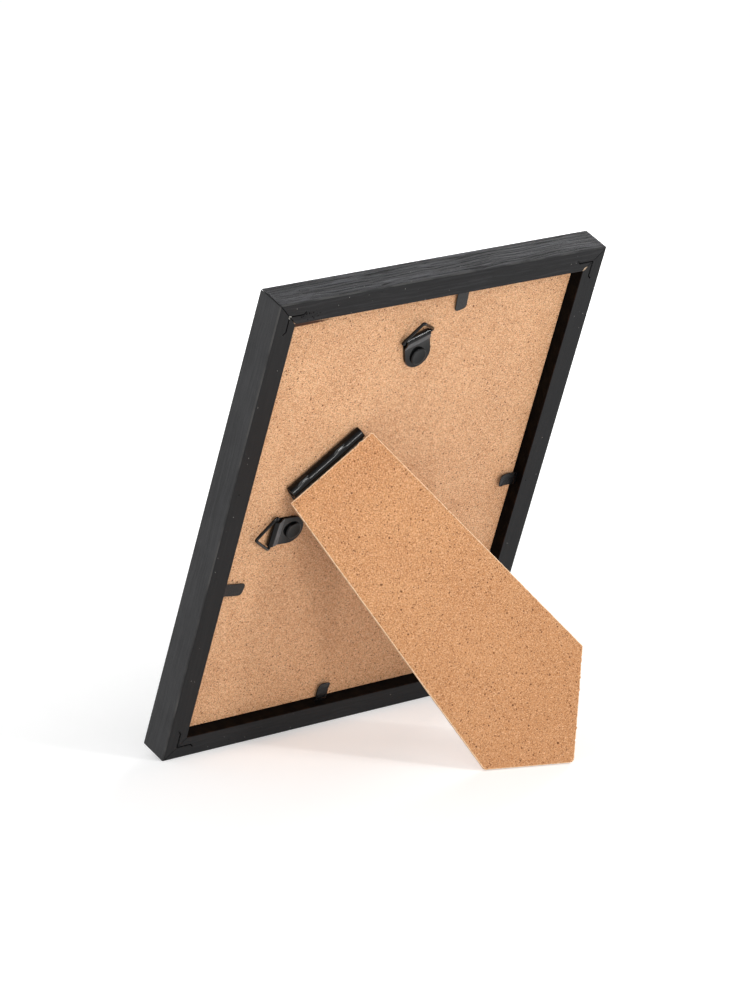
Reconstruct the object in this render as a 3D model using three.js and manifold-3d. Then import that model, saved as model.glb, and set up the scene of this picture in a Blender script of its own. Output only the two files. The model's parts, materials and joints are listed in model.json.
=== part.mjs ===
// A wooden picture frame for a 15 by 20 cm picture, standing on the easel leg of its backing board.
// Panel coordinates: x to the right as seen from behind, y up the frame, z out of the rear face, with
// the origin at the middle of the rear bottom edge. The panel then leans back until that edge and the
// foot of the leg stand on the floor. Left and right are those of someone looking at the back.

import * as THREE from 'three';
import { mergeVertices } from 'three/addons/utils/BufferGeometryUtils.js';
import Module from 'manifold-3d';

const wasm = await Module();
wasm.setup();

// Moulding
const FRAME_WIDTH = 170;
const FRAME_HEIGHT = 220;
const FRAME_DEPTH = 14;
const WALL = 10;
const LIP_REACH = 5;
const LIP_THICKNESS = 3;
const OUTER_ROUND = 0.8;
const SIGHT_ROUND = 1.2;
const REBATE_ROUND = 0.4;
const MITRE_GAP = 0.3;

// Layers in the rebate, with the play around their edges
const GLASS_THICKNESS = 2;
const PAPER_THICKNESS = 0.3;
const BOARD_THICKNESS = 2.3;
const EDGE_PLAY = 0.6;

// Clearance between pieces that lie against each other
const GAP = 0.3;

// Corner nails: bent strips driven into the back of each mitre
const NAIL_INSET = 5.9;
const NAIL_LEG = 7;
const NAIL_HOOK = 1.8;
const NAIL_SHEET = 0.6;
const NAIL_DEPTH = 8;
const NAIL_SUNK = 0.2;

// Bendable tabs that hold the backing board
const TAB_WIDTH = 5.8;
const TAB_SHEET = 0.5;
const TAB_LENGTH = 17;
const TAB_ROUND = 1.8;
const TAB_ABOVE_BOARD = 1.8;
const TAB_BEND = 0.8;
const TAB_BEND_GAP = 0.5;

// Hanging plates: a folded strap, a rivet and a triangular wire ring
const STRAP_WIDTH = 12.6;
const STRAP_FOLD_WIDTH = 11.6;
const STRAP_SHEET = 0.5;
const STRAP_END_SHIFT = 1;
const STRAP_FOLD_REACH = 10.3;
const STRAP_FOLD_WRAP = 115;
const RING_WIRE = 1.5;
const RING_HALF_BASE = 8.3;
const RING_HEIGHT = 11.8;
const RING_CORNER = 0.9;
const RIVET_HEAD_RADIUS = 3.8;
const RIVET_HEAD = 0.7;
const RIVET_SHANK_RADIUS = 1.4;
const RIVET_TAIL_RADIUS = 2.2;
const RIVET_TAIL = 0.5;

// Strut hinge between the board and the leg, placed from the right outer side and the bottom
const HINGE_FROM_SIDE = 121.4;
const HINGE_FROM_BOTTOM = 136.2;
const HINGE_ANGLE = 39.5;
const BARREL_LENGTH = 38;
const BARREL_RADIUS = 2.5;
const END_KNUCKLE = 9.3;
const HINGE_SHEET = 0.7;
const BOARD_CURL = 300;
const LEG_CURL = 310;
const LEAF_REACH = 14;
const LEAF_MARGIN = 0.4;
const LEAF_CLEARANCE = 0.9;
const PRONG_WIDTH = 3;
const PRONG_DEPTH = 1.2;
const PRONG_SPACING = 12;
const PRONG_INSET = 3;

// Easel leg: its foot is cut so that the frame stands either way up
const LEG_THICKNESS = 2.3;
const LEG_TOP_WIDTH = 44;
const LEG_FLARE = 4.4;
const LEG_OPENING = 45;
const LEG_TIP_ROUND = 2.2;
const LEG_SIDE_ROUND = 1.4;
const LEG_TOP_ROUND = 0.6;
const LEAN_PORTRAIT = 23.6;
const LEAN_LANDSCAPE = 25.2;

// Facets of round shapes
const CORNER_STEPS = 3;
const CURL_STEPS = 20;
const ROUND_SIDES = 24;
const WIRE_SIDES = 8;
const WIRE_STEPS = 64;

// The four sides, and for each tab its place along the side, reach, skew, lift and kink
const SIDES = [
  { name: 'rail_bottom', end: 'bottom', turn: 0, along: -2, reach: 8.6, skew: 0, lift: 4, kink: 16 },
  { name: 'stile_right', end: 'right', turn: 90, along: -3.5, reach: 9, skew: 0, lift: 4, kink: 16 },
  { name: 'rail_top', end: 'top', turn: 180, along: -14.5, reach: 11.9, skew: 12, lift: 0, kink: 0 },
  { name: 'stile_left', end: 'left', turn: 270, along: 29.3, reach: 14.5, skew: -12, lift: 0, kink: 0 },
];

// Each hanging plate: rivet distance from the outer edge, shift along it, turn and lift of the ring
const HANGERS = [
  { name: 'top', inset: 40, along: -0.5, turn: 19, ringLift: 25 },
  { name: 'left', inset: 41.6, along: -6, turn: 87, ringLift: 14 },
];

const radians = THREE.MathUtils.degToRad;

// Heights of the layers, from the lip to the back of the board
const lipTop = LIP_THICKNESS - FRAME_DEPTH;
const glassFront = lipTop + GAP;
const paperFront = glassFront + GLASS_THICKNESS + GAP;
const boardFront = paperFront + PAPER_THICKNESS + GAP;
const boardRear = boardFront + BOARD_THICKNESS;

const finishes = {
  wood: { color: 0x2b2b2c, roughness: 0.55, metalness: 0 },
  glass: { color: 0xdfe8e6, roughness: 0.05, metalness: 0, transparent: true, opacity: 0.35 },
  paper: { color: 0xf2f0ea, roughness: 0.9, metalness: 0 },
  board: { color: 0xd7a678, roughness: 0.85, metalness: 0 },
  leg: { color: 0xd6a070, roughness: 0.85, metalness: 0 },
  nail: { color: 0x3a3835, roughness: 0.45, metalness: 0.9 },
  tab: { color: 0x1d1d1e, roughness: 0.6, metalness: 0.4 },
  fitting: { color: 0x262628, roughness: 0.35, metalness: 0.4 },
};

function piece(name, geometry, finish) {
  const mesh = new THREE.Mesh(geometry, new THREE.MeshStandardMaterial(finishes[finish]));
  mesh.name = name;
  return mesh;
}

// A closed outline through corners [x, y, radius], each rounded by its own radius.
function outline(corners) {
  const shape = new THREE.Shape();
  corners.forEach(([x, y, radius], i) => {
    const corner = new THREE.Vector2(x, y);
    const [lastX, lastY] = corners.at(i - 1);
    const [nextX, nextY] = corners[(i + 1) % corners.length];
    const back = new THREE.Vector2(lastX, lastY).sub(corner).normalize();
    const ahead = new THREE.Vector2(nextX, nextY).sub(corner).normalize();
    const reach = radius / Math.tan(Math.acos(back.dot(ahead)) / 2);
    const entry = corner.clone().addScaledVector(back, reach);
    const exit = corner.clone().addScaledVector(ahead, reach);
    if (i === 0) shape.moveTo(entry.x, entry.y);
    else shape.lineTo(entry.x, entry.y);
    if (radius > 0) shape.quadraticCurveTo(corner.x, corner.y, exit.x, exit.y);
  });
  return shape;
}

// The outline of a strip of even thickness along a path of points.
function ribbon(path, thickness) {
  const normals = path.slice(1).map((point, i) => {
    const along = point.clone().sub(path[i]).normalize();
    return new THREE.Vector2(-along.y, along.x);
  });
  const edge = (side) => path.map((point, i) => {
    const before = normals[Math.max(i - 1, 0)];
    const after = normals[Math.min(i, normals.length - 1)];
    const mitre = before.clone().add(after).divideScalar(1 + before.dot(after));
    return point.clone().addScaledVector(mitre, side * thickness / 2);
  });
  return new THREE.Shape([...edge(1), ...edge(-1).reverse()]);
}

function arcPath(radius, fromDegrees, toDegrees, steps) {
  return Array.from({ length: steps + 1 }, (_, i) => {
    const angle = radians(fromDegrees + (toDegrees - fromDegrees) * i / steps);
    return new THREE.Vector2(radius * Math.cos(angle), radius * Math.sin(angle));
  });
}

// A plate of an outline, thick from one height to another.
function plate(shape, low, high, steps = CORNER_STEPS) {
  const options = { depth: high - low, bevelEnabled: false, curveSegments: steps };
  return new THREE.ExtrudeGeometry(shape, options).translate(0, 0, low);
}

// A bar along x with its section drawn in y and z.
const alongX = new THREE.Matrix4().makeBasis(
  new THREE.Vector3(0, 1, 0), new THREE.Vector3(0, 0, 1), new THREE.Vector3(1, 0, 0));

function bar(section, start, end) {
  return plate(section, start, end).applyMatrix4(alongX);
}

function block([x0, x1], [y0, y1], [z0, z1]) {
  const box = new THREE.BoxGeometry(x1 - x0, y1 - y0, z1 - z0);
  return box.translate((x0 + x1) / 2, (y0 + y1) / 2, (z0 + z1) / 2);
}

function post(radius, low, high) {
  const cylinder = new THREE.CylinderGeometry(radius, radius, high - low, ROUND_SIDES);
  return cylinder.rotateX(Math.PI / 2).translate(0, 0, (low + high) / 2);
}

// Boolean joins and cuts
function solid(geometry) {
  const bare = geometry.clone();
  bare.deleteAttribute('normal');
  bare.deleteAttribute('uv');
  const merged = mergeVertices(bare);
  const vertProperties = Float32Array.from(merged.attributes.position.array);
  const triVerts = Uint32Array.from(merged.index.array);
  return new wasm.Manifold(new wasm.Mesh({ numProp: 3, vertProperties, triVerts }));
}

function geometryOf(body) {
  const { vertProperties, triVerts } = body.getMesh();
  const geometry = new THREE.BufferGeometry();
  geometry.setAttribute('position', new THREE.BufferAttribute(vertProperties, 3));
  geometry.setIndex(new THREE.BufferAttribute(triVerts, 1));
  geometry.computeVertexNormals();
  return geometry;
}

function join(...geometries) {
  return geometryOf(geometries.map(solid).reduce((whole, part) => whole.add(part)));
}

function cut(geometry, tools) {
  return geometryOf(tools.map(solid).reduce((rest, tool) => rest.subtract(tool), solid(geometry)));
}

function overlapOf(geometry, other) {
  return geometryOf(solid(geometry).intersect(solid(other)));
}

// Moulding: an L-shaped section with a lip for the glass, mitred at both ends
const railCorners = [
  [0, 0, OUTER_ROUND],
  [WALL, 0, REBATE_ROUND],
  [WALL, lipTop, 0],
  [WALL + LIP_REACH, lipTop, 0],
  [WALL + LIP_REACH, -FRAME_DEPTH, SIGHT_ROUND],
  [0, -FRAME_DEPTH, OUTER_ROUND],
];
const railSection = outline(railCorners);

function mitredBar(length) {
  const geometry = bar(railSection, -1, 1);
  const { position } = geometry.attributes;
  for (let i = 0; i < position.count; i += 1) {
    const reach = length / 2 - position.getY(i) - MITRE_GAP / Math.SQRT2;
    position.setX(i, Math.sign(position.getX(i)) * reach);
  }
  return geometry;
}

// Corner nail: two legs along the rails, meeting on the mitre, with hooked ends
function nailOutline(sheet, spare) {
  const legEnd = NAIL_INSET + NAIL_LEG;
  const hook = (NAIL_HOOK + spare) / Math.SQRT2;
  const path = [
    new THREE.Vector2(NAIL_INSET - hook, legEnd + hook),
    new THREE.Vector2(NAIL_INSET, legEnd),
    new THREE.Vector2(NAIL_INSET, NAIL_INSET),
    new THREE.Vector2(legEnd, NAIL_INSET),
    new THREE.Vector2(legEnd + hook, NAIL_INSET - hook),
  ];
  return ribbon(path, sheet);
}

function nailSlot(length, end) {
  const slot = plate(nailOutline(NAIL_SHEET + 2 * GAP, GAP), -NAIL_SUNK - NAIL_DEPTH - GAP, FRAME_DEPTH);
  const quarterTurns = end > 0 ? 1 : 0;
  return slot.rotateZ(quarterTurns * Math.PI / 2).translate(end * length / 2, 0, 0);
}

// Bendable tab: the fixed part grips the rebate wall and the tongue bends just outside it
const tabHeight = boardRear + TAB_ABOVE_BOARD;

function tabPress(reach) {
  return Math.asin((TAB_ABOVE_BOARD - TAB_SHEET / 2 - GAP) / (reach - TAB_BEND));
}

function tabGrip(reach) {
  const sheet = [-TAB_SHEET / 2, TAB_SHEET / 2];
  const end = TAB_BEND - TAB_BEND_GAP / 2;
  return block([-TAB_WIDTH / 2, TAB_WIDTH / 2], [reach - TAB_LENGTH, end], sheet);
}

function tabPocket(reach) {
  const halfWidth = TAB_WIDTH / 2 + GAP;
  const halfHeight = TAB_SHEET / 2 + GAP;
  return block([-halfWidth, halfWidth], [reach - TAB_LENGTH - GAP, LIP_REACH], [-halfHeight, halfHeight]);
}

// The tongue is flat to its middle, where a kink lifts its rounded end
function tabTongue(reach, kink) {
  const root = TAB_BEND_GAP / 2;
  const tip = reach - TAB_BEND;
  const middle = (root + tip) / 2;
  const rise = (tip - middle) * Math.tan(radians(kink));
  const path = [[root, 0], [middle, 0], [tip + TAB_ROUND, rise * (1 + TAB_ROUND / (tip - middle))]];
  const section = ribbon(path.map(([along, height]) => new THREE.Vector2(along, height)), TAB_SHEET);
  const corners = [
    [-TAB_WIDTH / 2, root, 0],
    [TAB_WIDTH / 2, root, 0],
    [TAB_WIDTH / 2, tip, TAB_ROUND],
    [-TAB_WIDTH / 2, tip, TAB_ROUND],
  ];
  const blank = plate(outline(corners), -TAB_LENGTH, TAB_LENGTH);
  return overlapOf(bar(section, -TAB_WIDTH, TAB_WIDTH), blank);
}

// One side of the frame with its tab, drawn as the bottom rail and turned into place
function sideOfFrame({ name, end, turn, along, reach, skew, lift, kink }) {
  const isRail = turn % 180 === 0;
  const length = isRail ? FRAME_WIDTH : FRAME_HEIGHT;
  const distance = (isRail ? FRAME_HEIGHT : FRAME_WIDTH) / 2;
  const angle = radians(turn);

  const pocket = tabPocket(reach).rotateZ(radians(skew)).translate(along, WALL, tabHeight);
  const rail = cut(mitredBar(length), [nailSlot(length, -1), nailSlot(length, 1), pocket]);

  const bend = new THREE.Group();
  bend.position.y = TAB_BEND;
  bend.rotation.x = radians(lift) - tabPress(reach);
  bend.add(piece(`tab_${end}`, tabTongue(reach, kink), 'tab'));

  const tab = new THREE.Group();
  tab.position.set(along, WALL, tabHeight);
  tab.rotation.z = radians(skew);
  tab.add(piece(`tab_${end}_grip`, tabGrip(reach), 'tab'), bend);

  const side = new THREE.Group();
  side.position.set(distance * Math.sin(angle), FRAME_HEIGHT / 2 - distance * Math.cos(angle), 0);
  side.rotation.z = angle;
  side.add(piece(`frame_${name}`, rail, 'wood'), tab);
  return side;
}

function cornerNail(name, right, top) {
  const nail = piece(`corner_nail_${name}`,
    plate(nailOutline(NAIL_SHEET, 0), -NAIL_SUNK - NAIL_DEPTH, -NAIL_SUNK), 'nail');
  nail.position.set((right - 0.5) * FRAME_WIDTH, top * FRAME_HEIGHT, 0);
  nail.rotation.z = Math.PI / 2 * (right + 3 * top - 2 * right * top);
  return nail;
}

// Sheets that fill the rebate
function rebateOutline() {
  const halfWidth = FRAME_WIDTH / 2 - WALL - EDGE_PLAY;
  const bottom = WALL + EDGE_PLAY;
  const top = FRAME_HEIGHT - bottom;
  return outline([
    [-halfWidth, bottom, 0], [halfWidth, bottom, 0], [halfWidth, top, 0], [-halfWidth, top, 0]]);
}

// Hanging plate, drawn with its rivet at the origin on the board and its ring towards +y
const wireRadius = RING_WIRE / 2;
const foldRadius = wireRadius + GAP + STRAP_SHEET / 2;
const foldHeight = GAP + foldRadius + STRAP_SHEET / 2;
const strapTop = GAP + 2 * STRAP_SHEET + GAP;
const rivetHole = RIVET_SHANK_RADIUS + GAP;

// Flat shape of the strap: a narrower fold, straight sides and a round end
function strapOutline() {
  const fold = STRAP_FOLD_REACH + foldRadius + STRAP_SHEET;
  const shoulder = STRAP_FOLD_REACH - foldRadius - STRAP_SHEET;
  const step = (STRAP_WIDTH - STRAP_FOLD_WIDTH) / 2;
  const shape = new THREE.Shape();
  shape.moveTo(-STRAP_FOLD_WIDTH / 2, fold);
  shape.lineTo(-STRAP_FOLD_WIDTH / 2, shoulder);
  shape.lineTo(-STRAP_WIDTH / 2, shoulder - step);
  shape.absarc(0, STRAP_END_SHIFT, STRAP_WIDTH / 2, Math.PI, 2 * Math.PI, false);
  shape.lineTo(STRAP_WIDTH / 2, shoulder - step);
  shape.lineTo(STRAP_FOLD_WIDTH / 2, shoulder);
  shape.lineTo(STRAP_FOLD_WIDTH / 2, fold);
  return shape;
}

// The folded section: under layer, roll round the wire, step down and upper layer
function strapFold() {
  const far = -2 * STRAP_FOLD_REACH - STRAP_WIDTH;
  const upper = STRAP_SHEET + GAP - foldRadius;
  const roll = arcPath(foldRadius, -90, STRAP_FOLD_WRAP, CURL_STEPS);
  const rollEnd = roll.at(-1);
  const wrap = radians(STRAP_FOLD_WRAP);
  const stepLength = (upper - rollEnd.y) / Math.cos(wrap);
  const stepFoot = new THREE.Vector2(rollEnd.x - stepLength * Math.sin(wrap), upper);
  const path = [new THREE.Vector2(far, -foldRadius), ...roll, stepFoot, new THREE.Vector2(far, upper)];
  const section = bar(ribbon(path, STRAP_SHEET), -STRAP_WIDTH, STRAP_WIDTH);
  return section.translate(0, STRAP_FOLD_REACH, foldHeight);
}

function hangerStrap() {
  const blank = plate(strapOutline(), 0, FRAME_DEPTH, ROUND_SIDES / 4);
  return cut(overlapOf(strapFold(), blank), [post(rivetHole, 0, FRAME_DEPTH)]);
}

// Ring: one length of wire bent to a triangle, its ends meeting inside the fold
function hangerRing() {
  const apex = new THREE.Vector2(0, RING_HEIGHT);
  const corners = [new THREE.Vector2(RING_HALF_BASE, 0), apex, new THREE.Vector2(-RING_HALF_BASE, 0)];
  const ends = [new THREE.Vector2(GAP / 2, 0), new THREE.Vector2(-GAP / 2, 0)];
  const stations = [ends[0], ...corners, ends[1]];
  const path = new THREE.CurvePath();
  const place = ({ x, y }) => new THREE.Vector3(x, y, 0);
  let from = ends[0];
  corners.forEach((corner, i) => {
    const back = stations[i].clone().sub(corner).normalize();
    const ahead = stations[i + 2].clone().sub(corner).normalize();
    const reach = RING_CORNER / Math.tan(Math.acos(back.dot(ahead)) / 2);
    const entry = corner.clone().addScaledVector(back, reach);
    const exit = corner.clone().addScaledVector(ahead, reach);
    path.add(new THREE.LineCurve3(place(from), place(entry)));
    path.add(new THREE.QuadraticBezierCurve3(place(entry), place(corner), place(exit)));
    from = exit;
  });
  path.add(new THREE.LineCurve3(place(from), place(ends[1])));
  const section = new THREE.Shape(arcPath(wireRadius, 0, 360 - 360 / WIRE_SIDES, WIRE_SIDES - 1));
  return new THREE.ExtrudeGeometry(section, { steps: WIRE_STEPS, extrudePath: path, bevelEnabled: false });
}

function hangerRivet() {
  const headLow = strapTop + GAP;
  const tailHigh = RIVET_TAIL - BOARD_THICKNESS;
  const crown = RIVET_HEAD / 4;
  const profile = [
    [0, -BOARD_THICKNESS],
    [RIVET_TAIL_RADIUS, -BOARD_THICKNESS],
    [RIVET_TAIL_RADIUS, tailHigh],
    [RIVET_SHANK_RADIUS, tailHigh],
    [RIVET_SHANK_RADIUS, headLow],
    [RIVET_HEAD_RADIUS, headLow],
    [RIVET_HEAD_RADIUS, headLow + RIVET_HEAD - crown],
    [RIVET_HEAD_RADIUS - crown, headLow + RIVET_HEAD],
    [0, headLow + RIVET_HEAD],
  ].map(([radius, height]) => new THREE.Vector2(radius, height));
  return new THREE.LatheGeometry(profile, ROUND_SIDES).rotateX(Math.PI / 2);
}

function hangerPlace({ name, inset, along }) {
  if (name === 'top') return new THREE.Vector3(along, FRAME_HEIGHT - inset, boardRear);
  return new THREE.Vector3(inset - FRAME_WIDTH / 2, FRAME_HEIGHT / 2 + along, boardRear);
}

function hanger(spec) {
  const swing = new THREE.Group();
  swing.position.set(0, STRAP_FOLD_REACH, foldHeight);
  swing.rotation.x = radians(spec.ringLift);
  swing.add(piece(`hanger_${spec.name}_ring`, hangerRing(), 'fitting'));

  const group = new THREE.Group();
  group.position.copy(hangerPlace(spec));
  group.rotation.z = radians(spec.turn);
  group.add(
    piece(`hanger_${spec.name}_strap`, hangerStrap(), 'fitting'),
    piece(`hanger_${spec.name}_rivet`, hangerRivet(), 'fitting'),
    swing);
  return group;
}

// Holes through the board for a rivet and its spread tail
function rivetBore(spec) {
  const { x, y } = hangerPlace(spec);
  const tailRoom = RIVET_TAIL + GAP - BOARD_THICKNESS;
  const bore = join(
    post(rivetHole, -BOARD_THICKNESS - GAP, GAP),
    post(RIVET_TAIL_RADIUS + GAP, -BOARD_THICKNESS - GAP, tailRoom));
  return bore.translate(x, y, boardRear);
}

// Strut hinge, drawn with the barrel along x through the origin and the leg towards +y when folded
const curlRadius = BARREL_RADIUS - HINGE_SHEET / 2;
const knuckleGap = GAP / 2;
const middleKnuckle = BARREL_LENGTH / 2 - END_KNUCKLE;
const plateStart = BARREL_RADIUS + GAP + LEAF_MARGIN;
const boardLeafMiddle = -curlRadius;
const legLeafMiddle = boardLeafMiddle + HINGE_SHEET + LEAF_CLEARANCE;
const barrelHeight = boardRear + GAP + BARREL_RADIUS;
const legInner = legLeafMiddle + HINGE_SHEET / 2 + GAP;
const legOuter = legInner + LEG_THICKNESS;
const legTop = BARREL_RADIUS + GAP;

// A leaf comes in flat at its own height and curls round the pin
function curl(height, degrees) {
  const start = THREE.MathUtils.radToDeg(Math.asin(height / curlRadius));
  const path = [
    new THREE.Vector2(LEAF_REACH, height), ...arcPath(curlRadius, start, start - degrees, CURL_STEPS)];
  return ribbon(path, HINGE_SHEET);
}

function leafPlate(height) {
  const half = BARREL_LENGTH / 2;
  const sheet = [height - HINGE_SHEET / 2, height + HINGE_SHEET / 2];
  return block([-half, half], [plateStart, LEAF_REACH], sheet);
}

// Prongs stamped from a leaf and pressed into the wood, or with spare the pockets that they make
function prongs(low, high, spare) {
  const halfWidth = PRONG_WIDTH / 2 + spare;
  const halfSheet = HINGE_SHEET / 2 + spare;
  const row = LEAF_REACH - PRONG_INSET;
  return [-1, 0, 1].map((step) => block(
    [step * PRONG_SPACING - halfWidth, step * PRONG_SPACING + halfWidth],
    [row - halfSheet, row + halfSheet],
    [low, high]));
}

const boardFace = boardRear - barrelHeight;

function boardLeaf() {
  const section = curl(boardLeafMiddle, BOARD_CURL);
  const half = BARREL_LENGTH / 2;
  return join(
    bar(section, -half, -middleKnuckle - knuckleGap),
    bar(section, middleKnuckle + knuckleGap, half),
    leafPlate(boardLeafMiddle),
    ...prongs(boardFace - PRONG_DEPTH, boardLeafMiddle, 0));
}

function legLeaf() {
  const section = curl(legLeafMiddle, LEG_CURL);
  return join(
    bar(section, knuckleGap - middleKnuckle, middleKnuckle - knuckleGap),
    leafPlate(legLeafMiddle),
    ...prongs(legLeafMiddle, legInner + PRONG_DEPTH, 0));
}

function hingePin() {
  const radius = BARREL_RADIUS - HINGE_SHEET - GAP;
  return post(radius, -BARREL_LENGTH / 2, BARREL_LENGTH / 2).rotateY(Math.PI / 2);
}

const hinge = new THREE.Group();
hinge.position.set(FRAME_WIDTH / 2 - HINGE_FROM_SIDE, HINGE_FROM_BOTTOM, barrelHeight);
hinge.rotation.z = radians(HINGE_ANGLE) + Math.PI;

const legSwing = new THREE.Group();
legSwing.rotation.x = radians(LEG_OPENING);
hinge.add(legSwing);

// The floor that the frame stands on when it leans back on one of its rear edges
function floorUnder(inward, leanDegrees) {
  const lean = radians(leanDegrees);
  const up = inward.clone().multiplyScalar(Math.cos(lean));
  up.z = -Math.sin(lean);
  const edge = inward.x === 0 ? 0 : -FRAME_WIDTH / 2;
  const heights = railSection.getPoints(CORNER_STEPS).map(
    (point) => (edge + point.x) * Math.cos(lean) - point.y * Math.sin(lean));
  return new THREE.Plane(up, -Math.min(...heights));
}

const portraitFloor = floorUnder(new THREE.Vector3(0, 1, 0), LEAN_PORTRAIT);
const landscapeFloor = floorUnder(new THREE.Vector3(-1, 0, 0), LEAN_LANDSCAPE);

// The line where a floor cuts the inner face of the open leg, as x and y factors and their sum
function footLine(floor) {
  hinge.updateMatrixWorld(true);
  const { normal, constant } = floor.clone().applyMatrix4(legSwing.matrixWorld.clone().invert());
  return [normal.x, normal.y, -constant - normal.z * legInner];
}

function sideLine(side) {
  const flare = radians(LEG_FLARE);
  const factors = [Math.cos(flare), -side * Math.sin(flare)];
  return [...factors, factors[0] * side * LEG_TOP_WIDTH / 2 + factors[1] * legTop];
}

function meeting([a, b, sum], [otherA, otherB, otherSum]) {
  const scale = a * otherB - b * otherA;
  return [(sum * otherB - b * otherSum) / scale, (a * otherSum - sum * otherA) / scale];
}

// Leg: flared sides, and a foot whose two edges lie flat on the floor, upright and lying
function legOutline() {
  const upright = footLine(portraitFloor);
  const lying = footLine(landscapeFloor);
  return outline([
    [LEG_TOP_WIDTH / 2, legTop, LEG_TOP_ROUND],
    [...meeting(sideLine(1), upright), LEG_SIDE_ROUND],
    [...meeting(upright, lying), LEG_TIP_ROUND],
    [...meeting(sideLine(-1), lying), LEG_SIDE_ROUND],
    [-LEG_TOP_WIDTH / 2, legTop, LEG_TOP_ROUND],
  ]);
}

function easelLeg() {
  const blank = plate(legOutline(), legInner, legOuter);
  return cut(blank, prongs(legInner - GAP, legInner + PRONG_DEPTH + GAP, GAP));
}

legSwing.add(piece('easel_leg', easelLeg(), 'leg'), piece('hinge_leg_leaf', legLeaf(), 'fitting'));
hinge.add(piece('hinge_board_leaf', boardLeaf(), 'fitting'), piece('hinge_pin', hingePin(), 'fitting'));

function backingBoard() {
  hinge.updateMatrixWorld(true);
  const pockets = prongs(boardFace - PRONG_DEPTH - GAP, boardFace + GAP, GAP);
  pockets.forEach((pocket) => pocket.applyMatrix4(hinge.matrixWorld));
  return cut(plate(rebateOutline(), boardFront, boardRear), [...HANGERS.map(rivetBore), ...pockets]);
}

// The panel with all its pieces
const panel = new THREE.Group();
panel.add(...SIDES.map(sideOfFrame));
panel.add(
  cornerNail('bottom_left', 0, 0), cornerNail('bottom_right', 1, 0),
  cornerNail('top_left', 0, 1), cornerNail('top_right', 1, 1));
panel.add(
  piece('glass_pane', plate(rebateOutline(), glassFront, glassFront + GLASS_THICKNESS), 'glass'),
  piece('paper_insert', plate(rebateOutline(), paperFront, paperFront + PAPER_THICKNESS), 'paper'),
  piece('backing_board', backingBoard(), 'board'));
panel.add(...HANGERS.map(hanger), hinge);

// Lean the panel back on the floor, with the picture towards -Y, and centre the whole over the origin
panel.rotation.set(Math.PI / 2 + radians(LEAN_PORTRAIT), 0, Math.PI, 'ZYX');
const pictureFrame = new THREE.Group();
pictureFrame.add(panel);
pictureFrame.updateMatrixWorld(true);
const extent = new THREE.Box3().setFromObject(pictureFrame, true);
const middle = extent.getCenter(new THREE.Vector3());
panel.position.set(-middle.x, -middle.y, -extent.min.z);

export default pictureFrame;
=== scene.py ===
# %% [markdown]
# # A picture frame seen from behind
# The part is a black wooden picture frame that stands on the hardboard leg of its back.
# Its solids are already packed: this lesson loads them, dresses each piece in its real finish,
# and sets up a small studio. No piece is placed by eye, because each one takes its place from the
# solids, and each hangs from an empty named after the body it belongs to.

# %% Load the imported model
import json
import math

import bmesh
import bpy
from mathutils import Matrix, Vector, noise


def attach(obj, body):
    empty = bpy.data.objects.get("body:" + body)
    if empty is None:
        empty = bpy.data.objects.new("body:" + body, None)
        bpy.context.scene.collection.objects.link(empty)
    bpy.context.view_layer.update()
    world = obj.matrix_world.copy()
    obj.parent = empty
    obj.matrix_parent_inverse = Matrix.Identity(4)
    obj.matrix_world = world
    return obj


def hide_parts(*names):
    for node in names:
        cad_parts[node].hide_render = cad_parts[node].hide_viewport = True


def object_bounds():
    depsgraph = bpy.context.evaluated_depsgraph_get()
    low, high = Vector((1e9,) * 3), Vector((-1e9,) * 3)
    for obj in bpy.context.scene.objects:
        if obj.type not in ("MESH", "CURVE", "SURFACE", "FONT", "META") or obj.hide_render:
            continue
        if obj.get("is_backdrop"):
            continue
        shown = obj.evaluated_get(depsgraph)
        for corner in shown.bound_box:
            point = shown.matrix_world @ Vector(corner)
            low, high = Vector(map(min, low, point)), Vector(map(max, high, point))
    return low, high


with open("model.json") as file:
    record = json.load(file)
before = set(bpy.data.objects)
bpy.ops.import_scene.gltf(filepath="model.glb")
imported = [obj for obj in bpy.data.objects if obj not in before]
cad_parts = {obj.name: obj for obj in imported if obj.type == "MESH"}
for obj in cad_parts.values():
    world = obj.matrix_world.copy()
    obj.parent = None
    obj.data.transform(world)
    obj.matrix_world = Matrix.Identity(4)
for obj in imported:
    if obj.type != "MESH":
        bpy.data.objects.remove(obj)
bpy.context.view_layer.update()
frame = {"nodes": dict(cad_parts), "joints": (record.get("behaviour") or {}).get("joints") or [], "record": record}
nodes = frame["nodes"]
MM = 0.001

# %% [markdown]
# ## The panel's own directions
# The frame leans back on its leg, so nothing on it is level. A maker would still measure from its
# edges: across the back, up the back and out of it. The mounting face of the bottom rail gives
# these directions, and its middle is half a rail above the lowest edge, where measuring starts.

# %% Panel directions
RAIL_WIDTH = 10
mount = next(m for m in frame["record"]["mounts"] if m["name"] == "wall_face_bottom")
panel_across = Vector((-1, 0, 0))
panel_out = Vector(mount["axis"]).normalized()
panel_up = panel_out.cross(panel_across)
panel_turn = Matrix((panel_across, panel_up, panel_out))
panel_origin = Vector(mount["pos_m"]) - panel_up * RAIL_WIDTH / 2 * MM


def to_panel(point):
    """A place in the row frame as millimetres across, up and out of the back."""
    return panel_turn @ (Vector(point) - panel_origin) / MM


def from_panel(place):
    """The reverse: millimetres on the panel to a place in the row frame."""
    return panel_origin + panel_turn.transposed() @ Vector(place) * MM


def panel_box(node):
    """Lowest and highest corner of a solid, measured along the panel."""
    places = [to_panel(v.co) for v in nodes[node].data.vertices]
    low = Vector([min(p[i] for p in places) for i in range(3)])
    high = Vector([max(p[i] for p in places) for i in range(3)])
    return low, high


print("lean in degrees:", round(math.degrees(math.asin(-panel_out.z)), 1))

# %% [markdown]
# ## Camera
# The photograph was taken from behind and to one side of the frame, a little above it, with a long
# lens that keeps the sides nearly parallel. The angles below are those of that view, and a small
# roll turns the picture as the photographer's camera was turned.

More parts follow.
